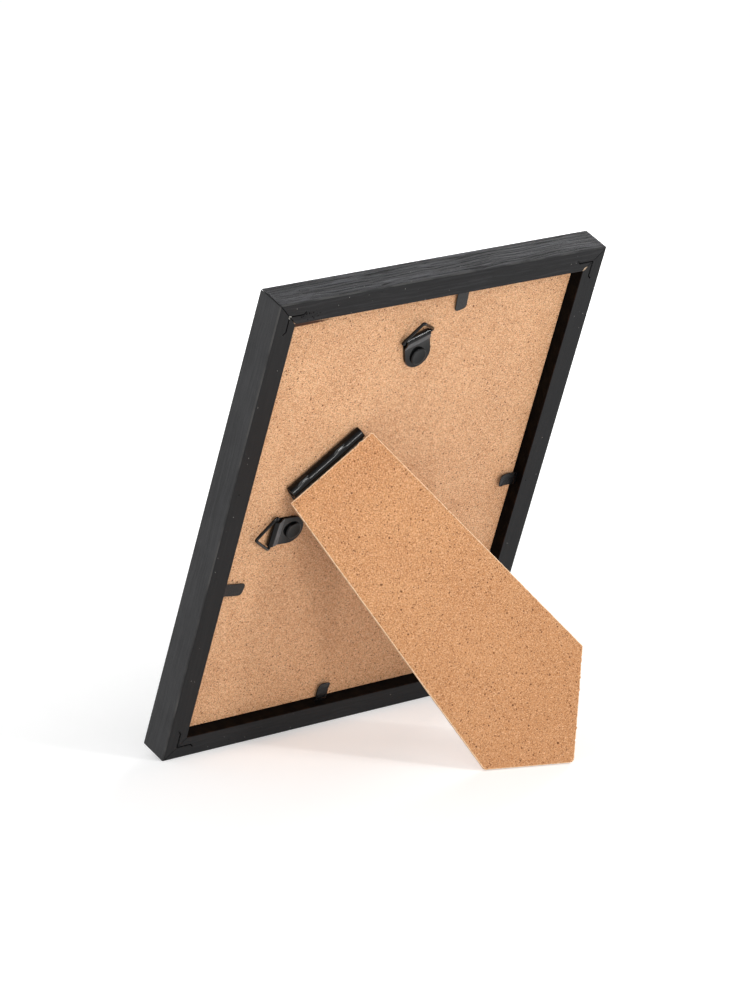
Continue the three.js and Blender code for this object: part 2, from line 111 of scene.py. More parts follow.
# %% Camera
VIEW_AZIMUTH = 140.822
VIEW_ELEVATION = 13.107
VIEW_DISTANCE = 2.2121
VIEW_ROLL = -1.5956
VIEW_LENS = 195.638
VIEW_SHIFT = (7.403, 45.098, 100.066)  # where the view is aimed, in mm from the mounting face
view_aim = Vector(mount["pos_m"]) + Vector(VIEW_SHIFT) * MM
azimuth, elevation = math.radians(VIEW_AZIMUTH), math.radians(VIEW_ELEVATION)
towards_camera = Vector((
    math.sin(azimuth) * math.cos(elevation),
    -math.cos(azimuth) * math.cos(elevation),
    math.sin(elevation)))

camera_data = bpy.data.cameras.new("studio_camera")
camera_data.sensor_width = 36
camera_data.lens = VIEW_LENS
camera = bpy.data.objects.new("studio_camera", camera_data)
bpy.context.scene.collection.objects.link(camera)
turn = towards_camera.to_track_quat("Z", "Y").to_matrix().to_4x4()
roll = Matrix.Rotation(math.radians(VIEW_ROLL), 4, "Z")
camera.matrix_world = Matrix.Translation(view_aim + towards_camera * VIEW_DISTANCE) @ turn @ roll
bpy.context.scene.camera = camera
print("camera at", [round(c, 3) for c in camera.location])

# %% [markdown]
# ## Building materials from nodes
# Every finish is a small network of nodes. One function adds a node, sets it and links it, so a
# material reads from top to bottom like a recipe. Colours are written as the hex values that a
# screen shows, and another function turns them to the linear values that the shader works with.

# %% Node and colour helpers
def put(tree, kind, inputs=None, give=0, **settings):
    """Adds a node with its settings and links, and gives back one of its outputs."""
    node = tree.nodes.new("ShaderNode" + kind)
    for option, value in settings.items():
        setattr(node, option, value)
    for socket, value in (inputs or {}).items():
        if isinstance(value, bpy.types.NodeSocket):
            tree.links.new(value, node.inputs[socket])
        else:
            node.inputs[socket].default_value = value
    return node.outputs[give] if node.outputs else None


# A Mix node of two colours takes the share at socket 0 and the colours at sockets 6 and 7.
COLOURS = {"give": 2, "data_type": "RGBA"}


def linear(hex_colour):
    """A screen colour such as #dba97b as linear red, green, blue and alpha."""
    channels = [int(hex_colour[i:i + 2], 16) / 255 for i in (1, 3, 5)]
    return [c / 12.92 if c <= 0.04045 else ((c + 0.055) / 1.055) ** 2.4 for c in channels] + [1]


def new_material(name):
    """An empty material and its node tree."""
    material = bpy.data.materials.new(name)
    material.use_nodes = True
    material.node_tree.nodes.clear()
    return material, material.node_tree


print("hardboard in linear light:", [round(c, 3) for c in linear("#d8a57a")])

# %% [markdown]
# ## Patterns that follow the panel
# Object coordinates are in metres and level with the floor. A Mapping node turns them to the panel
# and to millimetres, so that a grain 0.5 mm wide is written as 0.5, and runs along its own rail.

# %% Panel coordinates for the nodes
def panel_millimetres(tree):
    """Where a point lies on the panel, in millimetres across, up and out."""
    return put(tree, "Mapping", {
        "Vector": put(tree, "TexCoord", give="Object"), "Rotation": panel_turn.to_euler(),
        "Location": -(panel_turn @ panel_origin) / MM, "Scale": (1 / MM, 1 / MM, 1 / MM)})


def wandering(tree, place, size, amount):
    """The place pushed about by up to the amount in soft waves of the size, both in mm."""
    drift = put(tree, "TexNoise", {"Vector": place, "Scale": 1 / size, "Detail": 2}, give="Color")
    return put(tree, "VectorMath", {0: drift, 1: (amount, amount, amount), 2: place},
               operation="MULTIPLY_ADD")


SPOT_EDGE = 0.25  # a spot fades over this share of its radius, inwards and outwards
PICK_EDGE = 0.02  # cells this close to the share are drawn in part


def spots(tree, place, spacing, radius, share):
    """Round spots on a share of the cells of a scatter, with spacing and radius in mm."""
    distance = put(tree, "TexVoronoi", {"Vector": place, "Scale": 1 / spacing}, give="Distance")
    pick = put(tree, "SeparateColor", {0: distance.node.outputs["Color"]})
    near = put(tree, "MapRange", {
        0: distance, 1: (1 + SPOT_EDGE) * radius / spacing, 2: (1 - SPOT_EDGE) * radius / spacing})
    chosen = put(tree, "MapRange", {0: pick, 1: share + PICK_EDGE, 2: share - PICK_EDGE})
    return put(tree, "Math", {0: near, 1: chosen}, operation="MULTIPLY")


# Patches mark wear, and one marks a painted gap shadow on the board.
PATCH_CORE = 0.7  # the share of a patch that is fully worn


def soft_oval_patch(tree, place, centre, turn, size):
    """One soft-edged oval patch: centre and half sizes in mm, turned by degrees on the panel."""
    local = put(tree, "Mapping", {"Vector": place, "Location": centre, "Scale": size,
                                  "Rotation": (0, 0, math.radians(turn))}, vector_type="TEXTURE")
    reach = put(tree, "VectorMath", {0: local}, give="Value", operation="LENGTH")
    return put(tree, "MapRange", {0: reach, 1: 1.0, 2: PATCH_CORE})


print("panel coordinates start at", [round(c, 4) for c in panel_origin])

# %% [markdown]
# ## Satin black painted ash
# The moulding is a pale open-grained wood such as ash, brushed along the grain and then sprayed
# with satin black paint. The paint doesn't fill the pores, so the outside of the upper rail shows
# dark streaks of painted shade in the pores, and a painted highlight lightens the ridges between
# them. The back was sanded flat, and it is drawn blacker as painted shade. Paint rubs thin on the
# arrises, which look greyer, and specks of dust and small dents stay on it. One upper corner is
# pitted, and at the other a chip bares the pale wood.

# %% Painted wood
GRAIN_LENGTH, GRAIN_WIDTH = 34, 1.1
STREAK_LENGTH, STREAK_SPACING = 46, 1.5
ONE_WAVE = 0.628  # the Scale at which a wave repeats about once in each unit
WAVE_SIZE, WAVE_AMOUNT = 26, 3.0
FRAY_SIZE, FRAY_AMOUNT = 1.5, 1.2
PAINT_CLOUD, PAINT_FINE = 16, 0.6
BACK_FADE, BACK_PORES = (-1.0, -0.15), 0.12
FRONT_FADE, FRONT_PORES = (1.2, 0.4), 0.4
DENT_SPOTS, PIT_SPOTS, DUST_SPOTS = (3.0, 0.3, 0.06), (1.1, 0.4, 0.6), (2.4, 0.15, 0.4)
PITS, PITS_SIZE = (-68.5, 213.2, 0), (6, 2.4, 1.5)
CHIP, CHIP_TURN, CHIP_SIZE = (76.0, 211.0, 0), 45, (2.9, 0.5, 1.2)
stile_low, stile_high = panel_box("frame_stile_left")
frame_depth = stile_high.z - stile_low.z


def painted_ash(name, along, open_pores, tones):
    """Black painted wood with its grain along panel direction 0 or 1 and two tones outside."""
    material, tree = new_material(name)
    place = panel_millimetres(tree)
    out = put(tree, "SeparateXYZ", {0: place}, give=2)
    back = put(tree, "MapRange", {0: out, 1: BACK_FADE[0], 2: BACK_FADE[1]})
    front = put(tree, "MapRange", {
        0: out, 1: FRONT_FADE[0] - frame_depth, 2: FRONT_FADE[1] - frame_depth})
    openness = put(tree, "MapRange", {0: back, 3: open_pores, 4: BACK_PORES * open_pores})
    openness = put(tree, "MapRange", {0: front, 3: openness, 4: FRONT_PORES})
    waved = wandering(tree, place, WAVE_SIZE, WAVE_AMOUNT)
    size = [GRAIN_WIDTH] * 3
    size[along] = GRAIN_LENGTH
    brushed = put(tree, "Mapping", {"Vector": waved, "Scale": size}, vector_type="TEXTURE")
    grain = put(tree, "TexNoise", {"Vector": brushed, "Scale": 1, "Detail": 5, "Roughness": 0.7})
    size = [STREAK_SPACING] * 3
    size[along] = STREAK_LENGTH
    grown = put(tree, "Mapping", {"Vector": waved, "Scale": size}, vector_type="TEXTURE")
    streaks = put(tree, "TexWave", {
        "Vector": grown, "Scale": ONE_WAVE, "Distortion": 5.0, "Detail": 2, "Detail Scale": 0.7},
        give="Fac", wave_type="BANDS", bands_direction="DIAGONAL", wave_profile="SAW")
    streaks = put(tree, "Math", {
        0: put(tree, "MapRange", {0: streaks, 1: 0.42, 2: 0.24}),
        1: put(tree, "MapRange", {0: grain, 1: 0.6, 2: 0.46})}, operation="MULTIPLY")
    cloud = put(tree, "TexNoise", {"Vector": place, "Scale": 1 / PAINT_CLOUD, "Detail": 3})
    fine = put(tree, "TexNoise", {"Vector": place, "Scale": 1 / PAINT_FINE, "Detail": 2})
    pores_and_shade = put(tree, "MapRange", {0: grain, 1: 0.42, 2: 0.35})
    pores_and_shade = put(tree, "Math", {0: pores_and_shade, 1: streaks}, operation="MAXIMUM")
    pores_and_shade = put(tree, "Math", {0: pores_and_shade, 1: openness}, operation="MULTIPLY")
    ridge_highlight = put(tree, "MapRange", {0: grain, 1: 0.5, 2: 0.62})
    ridge_highlight = put(tree, "Math", {0: ridge_highlight, 1: openness}, operation="MULTIPLY")
    arris = put(tree, "Attribute", give="Fac", attribute_name="arris")
    rub = put(tree, "MapRange", {0: cloud, 1: 0.42, 2: 0.62, 3: 0.2, 4: 0.8})
    rub = put(tree, "Math", {0: arris, 1: rub}, operation="MULTIPLY")
    ragged = wandering(tree, place, FRAY_SIZE, FRAY_AMOUNT)
    dents = spots(tree, ragged, *DENT_SPOTS)
    pits = put(tree, "Math", {
        0: spots(tree, ragged, *PIT_SPOTS), 1: soft_oval_patch(tree, place, PITS, 0, PITS_SIZE)},
        operation="MULTIPLY")
    dents = put(tree, "Math", {0: dents, 1: pits}, operation="MAXIMUM")
    dust = spots(tree, place, *DUST_SPOTS)
    chip = soft_oval_patch(tree, ragged, CHIP, CHIP_TURN, CHIP_SIZE)

    tone = put(tree, "MapRange", {0: cloud, 1: 0.35, 2: 0.65})
    colour = put(tree, "Mix", {0: tone, 6: linear(tones[0]), 7: linear(tones[1])}, **COLOURS)
    # Painted shade darkens the back and the open pores, and a painted highlight lightens the ridges.
    for share, hex_colour in (
            (back, "#1e1e1f"), (ridge_highlight, "#4c4c4f"), (pores_and_shade, "#0a0a0b"), (dents, "#060606"),
            (rub, "#4a4948"), (dust, "#9c9a95"), (chip, "#c4ad94")):
        colour = put(tree, "Mix", {0: share, 6: colour, 7: linear(hex_colour)}, **COLOURS)
    relief = put(tree, "Math", {0: fine, 1: 0.1}, operation="MULTIPLY")
    relief = put(tree, "Math", {0: grain, 1: openness, 2: relief}, operation="MULTIPLY_ADD")
    relief = put(tree, "Math", {0: pores_and_shade, 1: -0.3, 2: relief}, operation="MULTIPLY_ADD")
    sheen = put(tree, "MapRange", {0: grain, 1: 0.3, 2: 0.7, 3: 0.56, 4: 0.42})
    paint = put(tree, "BsdfPrincipled", {
        "Base Color": colour, "Roughness": put(tree, "MapRange", {0: dents, 3: sheen, 4: 1.0}),
        "Normal": put(tree, "Bump", {"Height": relief, "Strength": 1.0, "Distance": 0.5 * MM}),
        "IOR": 1.5, "Specular IOR Level": 0.12})
    put(tree, "OutputMaterial", {"Surface": paint})
    return material


# Charcoal with fine black streaks of painted shade in the pores and a painted highlight on the ridges.
upper_rail_paint = painted_ash("brushed_black_ash_upper_rail", 0, 1.0, ("#343436", "#3c3c3e"))
# The same paint with pores half closed, so the light lies calmer on it.
lower_rail_paint = painted_ash("black_ash_lower_rail", 0, 0.4, ("#333334", "#3a3a3b"))
# Nearly closed pores: a smooth satin black with a few specks.
stile_paint = painted_ash("black_ash_stile", 1, 0.12, ("#333334", "#3a3a3b"))
print("painted wood:", upper_rail_paint.name, lower_rail_paint.name, stile_paint.name)

# %% [markdown]
# ## Thin stain and painted shade in the rebate
# The spray hardly reaches the walls of the rebate, so there the wood only has a thin black-brown
# stain, and it is drawn darker still as painted shade inside the rebate. Along its rubbed arris
# the brown of the wood comes through.

# %% Stained rebate with painted shade
BLOTCH_SIZE = 5
BROWN_ARRIS_PLACE, BROWN_ARRIS_SIZE = (-63, 210, -0.2), (13, 1.4, 1.4)


def rebate_stain_with_shade(name):
    """Thin stain on the bare wood, darkened further as painted shade, browner where its arris is rubbed."""
    material, tree = new_material(name)
    place = panel_millimetres(tree)
    blotch = put(tree, "TexNoise", {"Vector": place, "Scale": 1 / BLOTCH_SIZE, "Detail": 4})
    arris = put(tree, "Attribute", give="Fac", attribute_name="arris")
    rub = put(tree, "MapRange", {0: blotch, 1: 0.45, 2: 0.62, 3: 0.03, 4: 0.25})
    # Browner along the rebate's arris at the upper left.
    upper_left_brown = soft_oval_patch(tree, place, BROWN_ARRIS_PLACE, 0, BROWN_ARRIS_SIZE)
    rub = put(tree, "Math", {0: rub, 1: upper_left_brown}, operation="MAXIMUM")
    rub = put(tree, "Math", {0: arris, 1: rub}, operation="MULTIPLY")
    tone = put(tree, "MapRange", {0: blotch, 1: 0.4, 2: 0.66})
    # The near-black colours are the stain darkened further as painted shade in the rebate.
    colour = put(tree, "Mix", {0: tone, 6: linear("#030202"), 7: linear("#090604")}, **COLOURS)
    colour = put(tree, "Mix", {0: rub, 6: colour, 7: linear("#45291a")}, **COLOURS)
    stain_and_shade = put(tree, "BsdfPrincipled", {
        "Base Color": colour, "IOR": 1.5, "Specular IOR Level": 0.05,
        "Roughness": put(tree, "MapRange", {0: blotch, 1: 0.3, 2: 0.7, 3: 0.7, 4: 0.55})})
    put(tree, "OutputMaterial", {"Surface": stain_and_shade})
    return material


# A dead brown-black stain, darkened as painted shade, which makes the rebate look deep.
shaded_rebate_stain = rebate_stain_with_shade("thin_stain_and_shade_in_rebate")
print("rebate:", shaded_rebate_stain.name)

# %% [markdown]
# ## Hardboard
# The back and the leg are hardboard: wood fibres pressed hot into a smooth tan sheet. Up close it
# is a felt of pale and dark fibres with brown bark specks, and over a hand's width it is cloudy.
# The fibres are about 0.1 mm thick, too fine for the picture, so they are drawn at about 0.5 mm.
# Short strokes at three angles break up the felt, and a few long scratches run across it. On the
# back, a dark brown band along the upper left edge is painted shadow of the gap at the rail.

# %% Hardboard
BOARD_CLOUD, TUFT_SIZE, FIBRE_SIZE = 22, 2.2, 0.5
FELT_SIZE, FELT_AMOUNT = 0.8, 0.7
SCRATCH_WAVE, SCRATCH_AMOUNT, SCRATCH_SIZE = 9, 5.0, (0.45, 11, 11)
STROKE_TURNS, STROKE_SIZE, STROKE_DEPTH = (40, 100, 160), (1.0, 0.36, 0.5), 0.4
# Spacing and radius of the bark specks in mm, the share of cells that have one, and its depth.
BARK = ((0.7, 0.17, 0.45, 0.85), (1.6, 0.28, 0.45, 0.95), (3.4, 0.36, 0.5, 1.0))


def hardboard(name, face, cloudy, pale, dark, speck, stain_and_shade=None):
    """Pressed fibre sheet: face, clouds, pale and dark fibres, bark specks and a painted gap shadow."""
    material, tree = new_material(name)
    place = panel_millimetres(tree)
    ragged = wandering(tree, place, FELT_SIZE, FELT_AMOUNT)
    cloud = put(tree, "TexNoise", {"Vector": place, "Scale": 1 / BOARD_CLOUD, "Detail": 4})
    tuft = put(tree, "TexNoise", {"Vector": ragged, "Scale": 1 / TUFT_SIZE, "Detail": 3})
    fibre = put(tree, "TexNoise", {"Vector": ragged, "Scale": 1 / FIBRE_SIZE, "Detail": 2})
    drawn = put(tree, "Mapping", {
        "Vector": wandering(tree, place, SCRATCH_WAVE, SCRATCH_AMOUNT), "Scale": SCRATCH_SIZE},
        vector_type="TEXTURE")
    scratch = put(tree, "TexNoise", {"Vector": drawn, "Scale": 1, "Detail": 1})
    out = put(tree, "SeparateXYZ", {0: place}, give=2)

    tone = put(tree, "MapRange", {0: cloud, 1: 0.36, 2: 0.66})
    colour = put(tree, "Mix", {0: tone, 6: linear(face), 7: linear(cloudy)}, **COLOURS)
    # The last row darkens the sheet the further it stands out of the back, which is towards the leg's foot.
    for pattern, none, full, most, hex_colour in (
            (tuft, 0.46, 0.28, 0.45, dark), (fibre, 0.5, 0.64, 0.8, pale),
            (fibre, 0.48, 0.34, 0.95, dark), (scratch, 0.76, 0.8, 0.5, pale),
            (out, 5, 100, 0.6, dark)):
        share = put(tree, "MapRange", {0: pattern, 1: none, 2: full, 4: most})
        colour = put(tree, "Mix", {0: share, 6: colour, 7: linear(hex_colour)}, **COLOURS)
    for turn in STROKE_TURNS:
        brushed = put(tree, "Mapping", {
            "Vector": place, "Rotation": (0, 0, math.radians(turn)), "Scale": STROKE_SIZE},
            vector_type="TEXTURE")
        stroke = put(tree, "TexNoise", {"Vector": brushed, "Scale": 1, "Detail": 1})
        colour = put(tree, "Mix", {0: STROKE_DEPTH, 6: colour, 7: stroke}, blend_type="OVERLAY",
                     **COLOURS)
        for none, full, most, hex_colour in ((0.65, 0.71, 0.75, speck), (0.37, 0.3, 0.8, pale)):
            share = put(tree, "MapRange", {0: stroke, 1: none, 2: full, 4: most})
            colour = put(tree, "Mix", {0: share, 6: colour, 7: linear(hex_colour)}, **COLOURS)
    for spacing, radius, many, depth in BARK:
        bark = spots(tree, ragged, spacing, radius, many)
        bark = put(tree, "Math", {0: bark, 1: depth}, operation="MULTIPLY")
        colour = put(tree, "Mix", {0: bark, 6: colour, 7: linear(speck)}, **COLOURS)
    # An optional dark brown band, painted as the shadow in the gap between board and rail.
    if stain_and_shade:
        gap_shadow_share = soft_oval_patch(tree, place, *stain_and_shade)
        colour = put(tree, "Mix", {0: gap_shadow_share, 6: colour, 7: linear("#3d2213")}, **COLOURS)

    board = put(tree, "BsdfPrincipled", {
        "Base Color": colour, "IOR": 1.5, "Specular IOR Level": 0.25,
        "Roughness": put(tree, "MapRange", {0: tuft, 1: 0.3, 2: 0.7, 3: 0.75, 4: 0.6}),
        "Normal": put(tree, "Bump", {"Height": fibre, "Strength": 0.6, "Distance": 0.08 * MM})})
    put(tree, "OutputMaterial", {"Surface": board})
    return material


# The painted gap shadow lies below the rail's edge by this share of the board's depth.
RAIL_EDGE, SHADOW_DROP = 210, 0.85
board_depth = panel_box("backing_board")[1].z
gap_shadow_patch = ((-73, RAIL_EDGE + SHADOW_DROP * board_depth, board_depth), 0, (24, 0.9, 3))
# A warm, dry tan that looks flat from afar and felted from near.
back_board = hardboard(
    "tan_hardboard", "#d8a57a", "#c9956b", "#efc6a0", "#b88259", "#5e3317", gap_shadow_patch)
# The leg's sheet is redder, and a little darker towards its foot.
leg_board = hardboard(
    "orange_tan_hardboard", "#c38c5d", "#b57d50", "#e0af83", "#ab784e", "#5a2f14")
# Sawn edges show clean fibre, so they draw a pale line round the leg.
sawn_edge = hardboard(
    "sawn_hardboard_edge", "#f4d2ac", "#efc89e", "#fbe3c8", "#ddb48a", "#b98a5e")
print("hardboard:", back_board.name, leg_board.name, sawn_edge.name)

# %% [markdown]
# ## Black lacquer and coating on the metal
# The hinge, straps and rings are thin steel dipped in black stoving lacquer, which pulls into a
# glossy skin with a slight orange peel. The slope of each strap is drawn grey as a painted sheen,
# and where the sheet was cut the black is dull. The tabs are only blackened, so they hardly shine.

# %% Coated metal
THIN_SIZE, PEEL_SIZE = 3, 0.9


def black_coat(name, colour, thin, gloss, dull, shine, peel):
    """Black coating: full and thin colour, roughness range, shine, and orange peel in mm."""
    material, tree = new_material(name)
    place = panel_millimetres(tree)
    patch = put(tree, "TexNoise", {"Vector": place, "Scale": 1 / THIN_SIZE, "Detail": 4})
    ripple = put(tree, "TexNoise", {"Vector": place, "Scale": 1 / PEEL_SIZE, "Detail": 2})
    tone = put(tree, "MapRange", {0: patch, 1: 0.45, 2: 0.7})
    coat = put(tree, "BsdfPrincipled", {
        "Base Color": put(tree, "Mix", {0: tone, 6: linear(colour), 7: linear(thin)}, **COLOURS),
        "Roughness": put(tree, "MapRange", {0: patch, 1: 0.35, 2: 0.65, 3: gloss, 4: dull}),
        "Normal": put(tree, "Bump", {"Height": ripple, "Strength": 0.5, "Distance": peel * MM}),
        "IOR": 1.5, "Specular IOR Level": shine})
    put(tree, "OutputMaterial", {"Surface": coat})
    return material


# Deep black on the barrel, with one sharp line of light along it.
hinge_lacquer = black_coat("glossy_black_lacquer", "#050505", "#090808", 0.13, 0.2, 0.16, 0.006)
# A wet-looking black, bright where the ring's wire bends.
ring_lacquer = black_coat("wet_black_lacquer", "#070707", "#0b0b0b", 0.1, 0.16, 0.22, 0.01)
# A satin black for straps and rivets, bright only along the fold.
strap_lacquer = black_coat("satin_black_lacquer", "#080808", "#0e0e0f", 0.1, 0.17, 0.22, 0.006)
# The slope of the fold is drawn a rougher grey, as a painted sheen.
sheen_lacquer = black_coat("black_lacquer_painted_sheen", "#505051", "#6a6a6b", 0.42, 0.55, 0.2, 0.03)
# Where the sheet was cut the black is dead.
cut_black = black_coat("raw_black_cut", "#090909", "#0e0e0e", 0.6, 0.7, 0.05, 0.03)
# Dull charcoal that hardly shines.
tab_black = black_coat("dull_blackened_steel", "#0c0c0d", "#131314", 0.2, 0.32, 0.3, 0.02)
print("coatings:", hinge_lacquer.name, ring_lacquer.name, strap_lacquer.name, tab_black.name)

# %% [markdown]
# ## Steel, glass and paper
# The corner nails are dark bent steel strips, bare in scuffs where the hammer met them, with one painted glint.
# The pane is plain window glass, and behind it waits a sheet of white paper instead of a picture.

# %% Steel nails
PAINTED_GLINT, PAINTED_GLINT_RADIUS, PAINTED_GLINT_CORE = (-78.6, 213.6, -0.4), 0.9, 0.6
SCUFF_SIZE = 0.8


def nail_steel(name):
    """Darkened steel, bare in a few scuffs, with one bright spot painted as a glint."""
    material, tree = new_material(name)
    place = panel_millimetres(tree)
    scuff = put(tree, "TexNoise", {"Vector": place, "Scale": 1 / SCUFF_SIZE, "Detail": 3})
    # A bright bare-steel spot painted as a glint on the upper left nail.
    glint_spot = put(tree, "VectorMath", {0: place, 1: PAINTED_GLINT}, give="Value", operation="DISTANCE")
    scuffs_and_glint = put(tree, "Math", {
        0: put(tree, "MapRange", {0: scuff, 1: 0.7, 2: 0.76}),
        1: put(tree, "MapRange", {0: glint_spot, 1: PAINTED_GLINT_RADIUS, 2: PAINTED_GLINT_CORE})}, operation="MAXIMUM")
    colour = put(tree, "Mix", {0: scuffs_and_glint, 6: linear("#0f0e0e"), 7: linear("#d5d2cc")}, **COLOURS)
    steel = put(tree, "BsdfPrincipled", {
        "Base Color": colour, "Metallic": 1.0,
        "Roughness": put(tree, "MapRange", {0: scuff, 1: 0.3, 2: 0.7, 3: 0.6, 4: 0.35})})
    put(tree, "OutputMaterial", {"Surface": steel})
    return material


# Almost black, with a painted glint at the upper left corner.
dark_steel = nail_steel("darkened_steel")
print("nails:", dark_steel.name)

# %% Glass and paper
HAZE_SIZE, TOOTH_SIZE = 30, 0.6


def window_glass(name):
    """Clear glass with a trace of haze, which lets light through for the shadow."""
    material, tree = new_material(name)
    place = panel_millimetres(tree)
    haze = put(tree, "TexNoise", {"Vector": place, "Scale": 1 / HAZE_SIZE, "Detail": 3})
    glass = put(tree, "BsdfPrincipled", {
        "Base Color": linear("#fcfefd"), "IOR": 1.52, "Transmission Weight": 1.0,
        "Roughness": put(tree, "MapRange", {0: haze, 1: 0.4, 2: 0.7, 4: 0.04})})
    clear = put(tree, "BsdfTransparent", {"Color": linear("#fcfefd")})
    shadow = put(tree, "LightPath", give="Is Shadow Ray")
    pane = put(tree, "MixShader", {0: shadow, 1: glass, 2: clear})
    put(tree, "OutputMaterial", {"Surface": pane})
    return material


def drawing_paper(name):
    """Matt white paper with a fine tooth."""
    material, tree = new_material(name)
    place = panel_millimetres(tree)
    tooth = put(tree, "TexNoise", {"Vector": place, "Scale": 1 / TOOTH_SIZE, "Detail": 3})
    tone = put(tree, "MapRange", {0: tooth, 1: 0.35, 2: 0.65})
    colour = put(tree, "Mix", {0: tone, 6: linear("#e9e7e1"), 7: linear("#f1efea")}, **COLOURS)
    sheet = put(tree, "BsdfPrincipled", {
        "Base Color": colour, "Roughness": 0.85, "IOR": 1.45, "Specular IOR Level": 0.2,
        "Normal": put(tree, "Bump", {"Height": tooth, "Strength": 0.3, "Distance": 0.03 * MM})})
    put(tree, "OutputMaterial", {"Surface": sheet})
    return material


# Clear with a trace of green, and light passes it for the shadow.
clear_glass = window_glass("clear_window_glass")
# A matt warm white with a fine tooth.
white_paper = drawing_paper("white_drawing_paper")
print("front:", clear_glass.name, white_paper.name)

# %% [markdown]
# ## From a solid to a finished piece
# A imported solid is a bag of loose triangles. Where its shape is right but its edges are too keen, a
# copy is merged, its flat faces joined, and its edges eased. Weighted normals then keep the flats
# flat and let the rounded edges shade softly, as sanded wood and pressed metal do.

# %% Copies of solids
def merged_copy(node):
    """The solid as one closed mesh with whole faces in place of triangles."""
    shape = bmesh.new()
    shape.from_mesh(nodes[node].data)
    bmesh.ops.remove_doubles(shape, verts=shape.verts, dist=0.002 * MM)
    bmesh.ops.dissolve_limit(
        shape, angle_limit=math.radians(0.5), verts=shape.verts, edges=shape.edges)
    return shape


def ease_edges(shape, width, keen=40):
    """Rounds every outside edge that turns by more than the angle, by a width in millimetres."""
    edges = [e for e in shape.edges if e.is_convex and e.calc_face_angle() > math.radians(keen)]
    bmesh.ops.bevel(
        shape, geom=edges, offset=width * MM, offset_type="OFFSET", affect="EDGES", segments=2,
        profile=0.5, material=-1, clamp_overlap=True)


def make_piece(shape, name, body, finishes, stands_for=(), keen=40):
    """Turns a bmesh into a piece of the frame that rides on a body, with its finishes."""
    mesh = bpy.data.meshes.new(name)
    shape.to_mesh(mesh)
    shape.free()
    mesh.shade_smooth()
    mesh.set_sharp_from_angle(angle=math.radians(keen))
    for finish in finishes:
        mesh.materials.append(finish)
    piece = bpy.data.objects.new(name, mesh)
    bpy.context.scene.collection.objects.link(piece)
    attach(piece, body)
    if stands_for:
        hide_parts(*stands_for)
    return piece


def even_shading(piece):
    """Keeps the flats of a piece flat where its edges are eased."""
    piece.modifiers.new("even_shading", "WEIGHTED_NORMAL").keep_sharp = True


def soften(piece, levels):
    """Rounds a piece with a subdivision surface."""
    rounding = piece.modifiers.new("soft_form", "SUBSURF")
    rounding.levels = rounding.render_levels = levels


print("solids to dress:", ", ".join(sorted(nodes)))

# %% [markdown]
# ## The four sides of the moulding
# Each side is one length of moulding, sawn at 45 degrees. The copy marks its rounded arrises,
# where the paint rubs thin, and gives the walls of the rebate their own stain with painted shade.
# Both are found from the way a face looks: an arris looks between two directions, and a rebate
# wall at the middle.

# %% Moulding
sides = {
    "frame_rail_top": upper_rail_paint, "frame_rail_bottom": lower_rail_paint,
    "frame_stile_left": stile_paint, "frame_stile_right": stile_paint}
REBATE_SHARE = 0.75  # how much of the moulding's depth the rebate takes
# A wall looks along the depth by less than the first share, and a flat by more than the second.
WALL, FLAT = 0.1, 0.98
panel_middle = Vector((0, (stile_low.y + stile_high.y) / 2, 0))
rebate_depth = REBATE_SHARE * frame_depth
for node, paint in sides.items():
    shape = merged_copy(node)
    arris = shape.faces.layers.float.new("arris")
    for face in shape.faces:
        looks = panel_turn @ face.normal
        place = to_panel(face.calc_center_median())
        inward = Vector((looks.x, looks.y, 0)).dot(panel_middle - place) > 0
        face[arris] = 1.0 if WALL < abs(looks.z) < FLAT else 0.0
        sawn = abs(abs(looks.x) - abs(looks.y)) < WALL
        if inward and abs(looks.z) < FLAT and place.z > -rebate_depth and not sawn:
            face.material_index = 1
    piece = make_piece(shape, "painted_" + node[6:], "frame",
                       [paint, shaded_rebate_stain], [node], keen=50)
    even_shading(piece)
    print(piece.name, len(piece.data.polygons), "faces")

# %% [markdown]
# ## Corner nails
# A bent steel strip is driven into the back of each mitre, and the paint over it leaves only a thin
# dark line. The copy is widened until it fills its slot and brought up to the surface, and a
# groove is inset along its middle, so that the paint closes on a line as fine as the real one.

# %% Corner nails
# A wall of the nail looks out of the back by less than the first share, its top by more.
NAIL_WALL, NAIL_TOP = 0.5, 0.9
SLOT_PLAY, NAIL_RISE = 0.28, 0.17
LINE_RIM, LINE_TAPER, LINE_DEPTH = 0.31, 0.03, 0.5
for corner in ("top_left", "top_right", "bottom_left", "bottom_right"):
    node = "corner_nail_" + corner
    shape = merged_copy(node)
    shape.normal_update()
    for vert in shape.verts:
        walls = [f.normal for f in vert.link_faces if abs(f.normal.dot(panel_out)) < NAIL_WALL]
        widen = walls[0]
        if len(walls) == 2:
            widen = sum(walls, Vector()) / (1 + walls[0].dot(walls[-1]))
        rise = max(f.normal.dot(panel_out) for f in vert.link_faces) > NAIL_TOP
        vert.co += (widen * SLOT_PLAY + panel_out * NAIL_RISE * rise) * MM
    top = [f for f in shape.faces if f.normal.dot(panel_out) > NAIL_TOP]
    bmesh.ops.inset_region(shape, faces=top, thickness=LINE_RIM * MM, use_even_offset=True)
    walls = bmesh.ops.inset_region(
        shape, faces=top, thickness=LINE_TAPER * MM, depth=-LINE_DEPTH * MM,
        use_even_offset=True)["faces"]
    for face in top + walls:
        face.material_index = 1
    make_piece(shape, "driven_nail_" + corner, "frame",
               [stile_paint, dark_steel], [node])
print("4 corner nails")

# %% [markdown]
# ## Pane, paper and board
# These solids already have the right shape, so they stay as they are and only take a finish.

# %% Solids that keep their shape
for node, finish in (("glass_pane", clear_glass), ("paper_insert", white_paper),
                     ("backing_board", back_board)):
    nodes[node].data.materials.clear()
    nodes[node].data.materials.append(finish)
print("3 sheets in the rebate")

